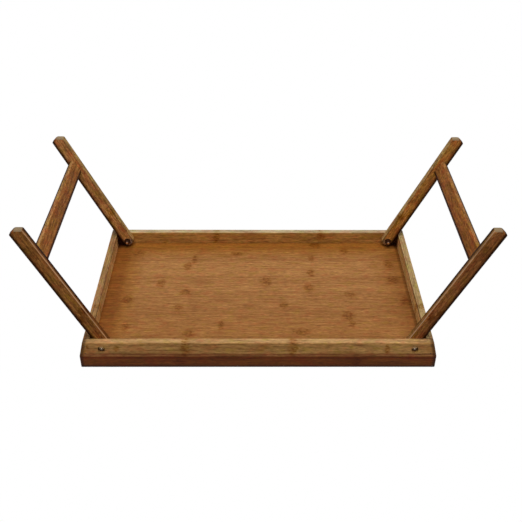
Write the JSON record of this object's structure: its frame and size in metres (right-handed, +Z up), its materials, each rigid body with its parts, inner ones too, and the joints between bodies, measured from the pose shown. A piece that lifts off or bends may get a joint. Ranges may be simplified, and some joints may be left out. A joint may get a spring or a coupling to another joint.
{
  "type": "folding tray table",
  "caption": "Low bamboo tray table with a raised rim and two splayed leg frames that fold flat into the recess under the tray.",
  "frame": {"origin": "middle of the floor area under the open table, at the bottom of the feet", "axes": "+X along the tray towards the right leg frame, +Y to the back, +Z up from the floor"},
  "size_m": [0.6354, 0.3, 0.22],
  "materials": {
    "panel_bamboo": "carbonised bamboo board, satin lacquer",
    "rail_bamboo": "carbonised bamboo strip, satin lacquer",
    "leg_bamboo": "carbonised bamboo strip, satin lacquer",
    "screw_steel": "zinc plated steel",
    "brad_steel": "darkened steel brads"
  },
  "bodies": {
    "tray": {"tray_panel": "panel_bamboo", "front_rail": "rail_bamboo", "back_rail": "rail_bamboo", "left_end_rail": "rail_bamboo", "right_end_rail": "rail_bamboo", "front_left_pivot_screw": "screw_steel", "front_left_lock_nut": "screw_steel", "front_left_corner_brads": "brad_steel", "front_right_pivot_screw": "screw_steel", "front_right_lock_nut": "screw_steel", "front_right_corner_brads": "brad_steel", "back_left_pivot_screw": "screw_steel", "back_left_lock_nut": "screw_steel", "back_left_corner_brads": "brad_steel", "back_right_pivot_screw": "screw_steel", "back_right_lock_nut": "screw_steel", "back_right_corner_brads": "brad_steel"},
    "left_leg_frame": {"front_left_leg": "leg_bamboo", "back_left_leg": "leg_bamboo", "left_crossbar": "leg_bamboo", "front_left_washer": "screw_steel", "back_left_washer": "screw_steel"},
    "right_leg_frame": {"front_right_leg": "leg_bamboo", "back_right_leg": "leg_bamboo", "right_crossbar": "leg_bamboo", "front_right_washer": "screw_steel", "back_right_washer": "screw_steel"}
  },
  "joints": [
    {"name": "left_leg_fold", "type": "hinge", "parent": "tray", "child": "left_leg_frame", "pos_m": [-0.21866, 0, 0.189], "axis": [0, -1, 0], "range_deg": [0, 116]},
    {"name": "right_leg_fold", "type": "hinge", "parent": "tray", "child": "right_leg_frame", "pos_m": [0.21866, 0, 0.189], "axis": [0, 1, 0], "range_deg": [0, 116]}
  ]
}
